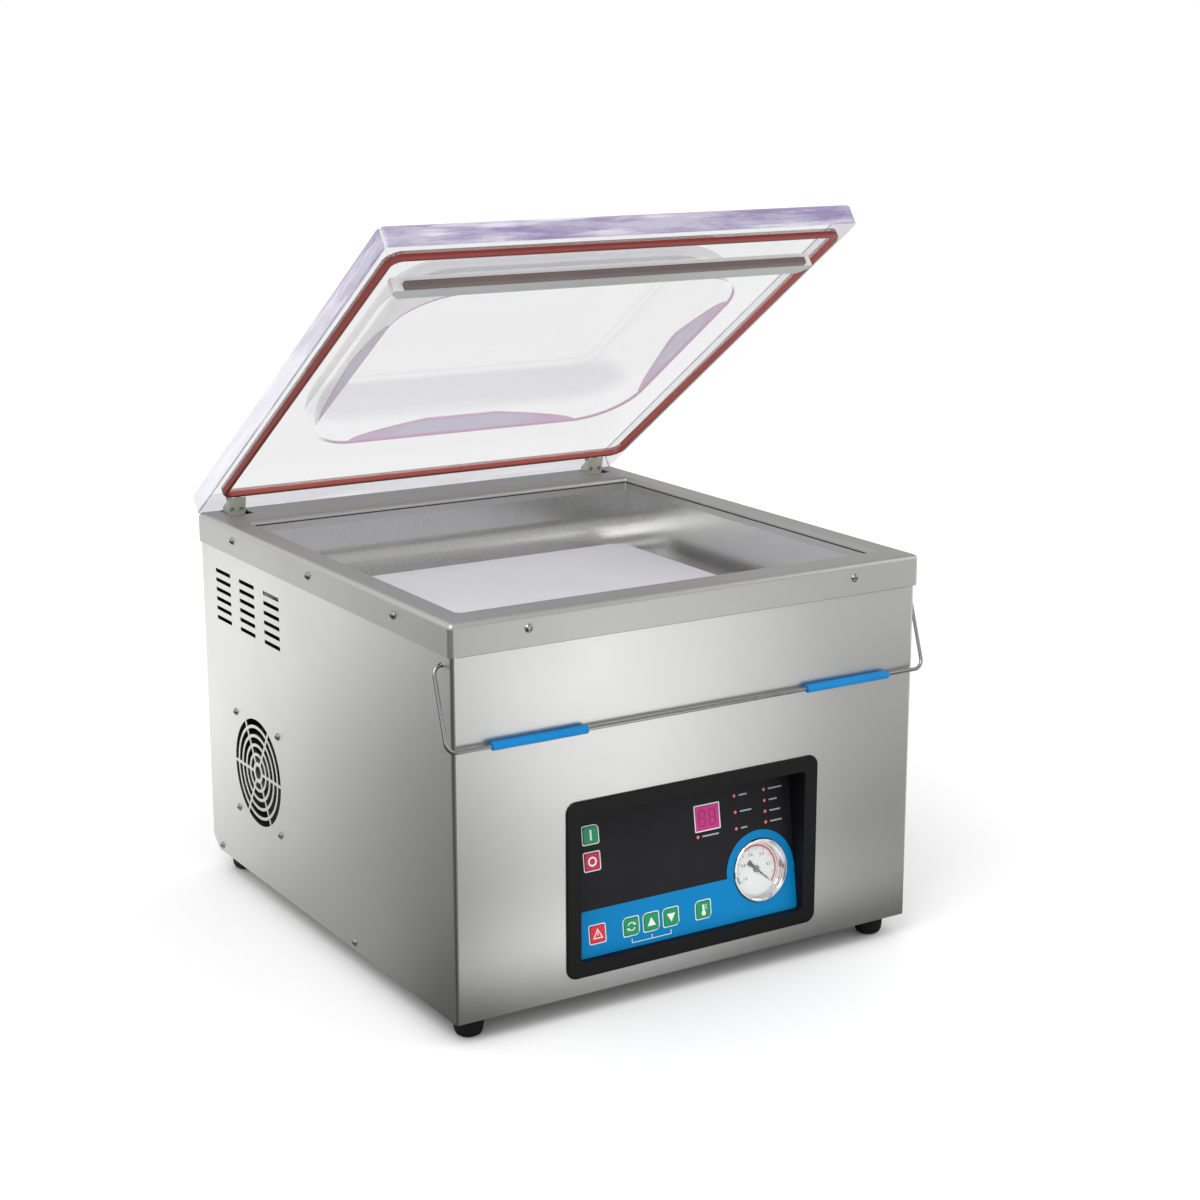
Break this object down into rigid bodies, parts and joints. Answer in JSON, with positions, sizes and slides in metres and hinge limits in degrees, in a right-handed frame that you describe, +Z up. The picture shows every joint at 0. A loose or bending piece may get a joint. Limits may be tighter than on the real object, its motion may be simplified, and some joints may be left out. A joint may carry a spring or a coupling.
{
  "type": "chamber vacuum packing machine",
  "caption": "Tabletop chamber vacuum packer: stainless cabinet, clear hinged lid held open, seal bar, bail handle, sunk control panel with keys and vacuum gauge.",
  "frame": {"origin": "on the worktop under the middle of the cabinet", "axes": "+X to the operator's right, -Y towards the operator, +Z up"},
  "size_m": [0.5046, 0.5549, 0.684],
  "materials": {
    "satin_steel": "fine brushed stainless steel",
    "plated_steel": "zinc plated sheet",
    "bright_steel": "polished stainless steel",
    "spring_steel": "drawn spring wire",
    "white_plastic": "milled white plastic board",
    "black_rubber": "moulded black rubber",
    "black_plastic": "moulded black plastic",
    "clear_plastic": "clear cast acrylic with a faint violet edge",
    "red_silicone": "red brown silicone",
    "pale_plastic": "machined natural nylon",
    "brown_silicone": "dark brown silicone",
    "grey_cast": "greenish grey coated casting",
    "blue_plastic": "moulded blue plastic",
    "bezel_plastic": "fine textured black moulding",
    "overlay_film": "printed charcoal film",
    "display_plastic": "magenta display window",
    "lamp_plastic": "tinted lamp lens",
    "circuit_board": "green circuit board",
    "chrome_ring": "polished chrome",
    "clear_glass": "clear glass",
    "dial_white": "white painted dial",
    "needle_black": "black painted pointer",
    "heater_alloy": "flat resistance band",
    "brown_tape": "glass cloth tape with a non-stick coating",
    "cast_alloy": "machined aluminium",
    "brass_valve": "turned brass",
    "pump_grey": "painted grey casting",
    "motor_grey": "painted aluminium casting",
    "core_steel": "lacquered laminated steel",
    "key_green": "green printed key cap",
    "key_crimson": "crimson printed key cap",
    "key_red": "red printed key cap"
  },
  "bodies": {
    "machine": {"top_rim": "satin_steel", "chamber_tub": "satin_steel", "filler_plate": "white_plastic", "cabinet_wrap": "satin_steel", "rear_panel": "satin_steel", "base_tray": "plated_steel", "feet": "black_rubber", "rim_screws": "bright_steel", "base_screws": "bright_steel", "fan_screws": "bright_steel", "fan_frame": "black_plastic", "hinge_brackets": "plated_steel", "hinge_shaft": "bright_steel", "hinge_springs": "spring_steel", "lid_switch": "plated_steel", "panel_bezel": "bezel_plastic", "panel_overlay": "overlay_film", "panel_plate": "plated_steel", "display_lens": "display_plastic", "led_lenses": "lamp_plastic", "control_board": "circuit_board", "key_switches": "black_plastic", "gauge_ring": "chrome_ring", "gauge_glass": "clear_glass", "gauge_dial": "dial_white", "gauge_case": "black_plastic", "seal_cylinders": "cast_alloy", "suction_port": "cast_alloy", "suction_hose": "black_rubber", "vacuum_valve": "brass_valve", "air_valve": "brass_valve", "pump_housing": "pump_grey", "exhaust_filter": "pump_grey", "oil_sight_glass": "clear_glass", "motor_housing": "motor_grey", "motor_fan_cover": "black_plastic", "transformer": "core_steel", "power_inlet": "black_plastic"},
    "lid": {"lid_panel": "clear_plastic", "lid_gasket": "red_silicone", "counter_bar_holder": "pale_plastic", "counter_strip": "brown_silicone", "hinge_blocks": "grey_cast", "hinge_screws": "bright_steel"},
    "bail": {"bail_wire": "bright_steel", "bail_grips": "blue_plastic"},
    "fan": {"fan_impeller": "black_plastic"},
    "rotor": {"motor_rotor": "core_steel"},
    "needle": {"gauge_needle": "needle_black"},
    "seal": {"seal_bar": "satin_steel", "seal_wires": "heater_alloy", "seal_tape": "brown_tape", "seal_rods": "bright_steel"},
    "key_on": {"key_on": "key_green"},
    "key_off": {"key_off": "key_crimson"},
    "key_stop": {"key_stop": "key_red"},
    "key_cycle": {"key_cycle": "key_green"},
    "key_up": {"key_up": "key_green"},
    "key_down": {"key_down": "key_green"},
    "key_temperature": {"key_temperature": "key_green"}
  },
  "joints": [
    {"name": "lid_hinge", "type": "hinge", "parent": "machine", "child": "lid", "pos_m": [0, 0.2522, 0.3607], "axis": [1, 0, 0], "range_deg": [0, 34.5], "stiffness_Nm_per_rad": 6, "springref_deg": -120.32},
    {"name": "bail_swing", "type": "hinge", "parent": "machine", "child": "bail", "pos_m": [0, -0.2468, 0.3344], "axis": [-1, 0, 0], "range_deg": [0, 184]},
    {"name": "fan_spin", "type": "hinge", "parent": "machine", "child": "fan", "pos_m": [-0.23, 0.1425, 0.133], "axis": [1, 0, 0], "continuous": true},
    {"name": "motor_spin", "type": "hinge", "parent": "machine", "child": "rotor", "pos_m": [0.09, 0.12, 0.112], "axis": [1, 0, 0], "continuous": true},
    {"name": "needle_turn", "type": "hinge", "parent": "machine", "child": "needle", "pos_m": [0.0813, -0.24564, 0.09228], "axis": [0, -0.9895, 0.1444], "range_deg": [0, 255], "stiffness_Nm_per_rad": 0.0002, "springref_deg": -5.73},
    {"name": "seal_lift", "type": "slide", "parent": "machine", "child": "seal", "axis": [0, 0, 1], "range_m": [0, 0.0117]},
    {"name": "key_on_press", "type": "slide", "parent": "machine", "child": "key_on", "axis": [0, 0.9895, -0.1444], "range_m": [0, 0.0008], "stiffness_N_per_m": 1500, "springref_m": -0.0004},
    {"name": "key_off_press", "type": "slide", "parent": "machine", "child": "key_off", "axis": [0, 0.9895, -0.1444], "range_m": [0, 0.0008], "stiffness_N_per_m": 1500, "springref_m": -0.0004},
    {"name": "key_stop_press", "type": "slide", "parent": "machine", "child": "key_stop", "axis": [0, 0.9895, -0.1444], "range_m": [0, 0.0008], "stiffness_N_per_m": 1500, "springref_m": -0.0004},
    {"name": "key_cycle_press", "type": "slide", "parent": "machine", "child": "key_cycle", "axis": [0, 0.9895, -0.1444], "range_m": [0, 0.0008], "stiffness_N_per_m": 1500, "springref_m": -0.0004},
    {"name": "key_up_press", "type": "slide", "parent": "machine", "child": "key_up", "axis": [0, 0.9895, -0.1444], "range_m": [0, 0.0008], "stiffness_N_per_m": 1500, "springref_m": -0.0004},
    {"name": "key_down_press", "type": "slide", "parent": "machine", "child": "key_down", "axis": [0, 0.9895, -0.1444], "range_m": [0, 0.0008], "stiffness_N_per_m": 1500, "springref_m": -0.0004},
    {"name": "key_temperature_press", "type": "slide", "parent": "machine", "child": "key_temperature", "axis": [0, 0.9895, -0.1444], "range_m": [0, 0.0008], "stiffness_N_per_m": 1500, "springref_m": -0.0004}
  ]
}
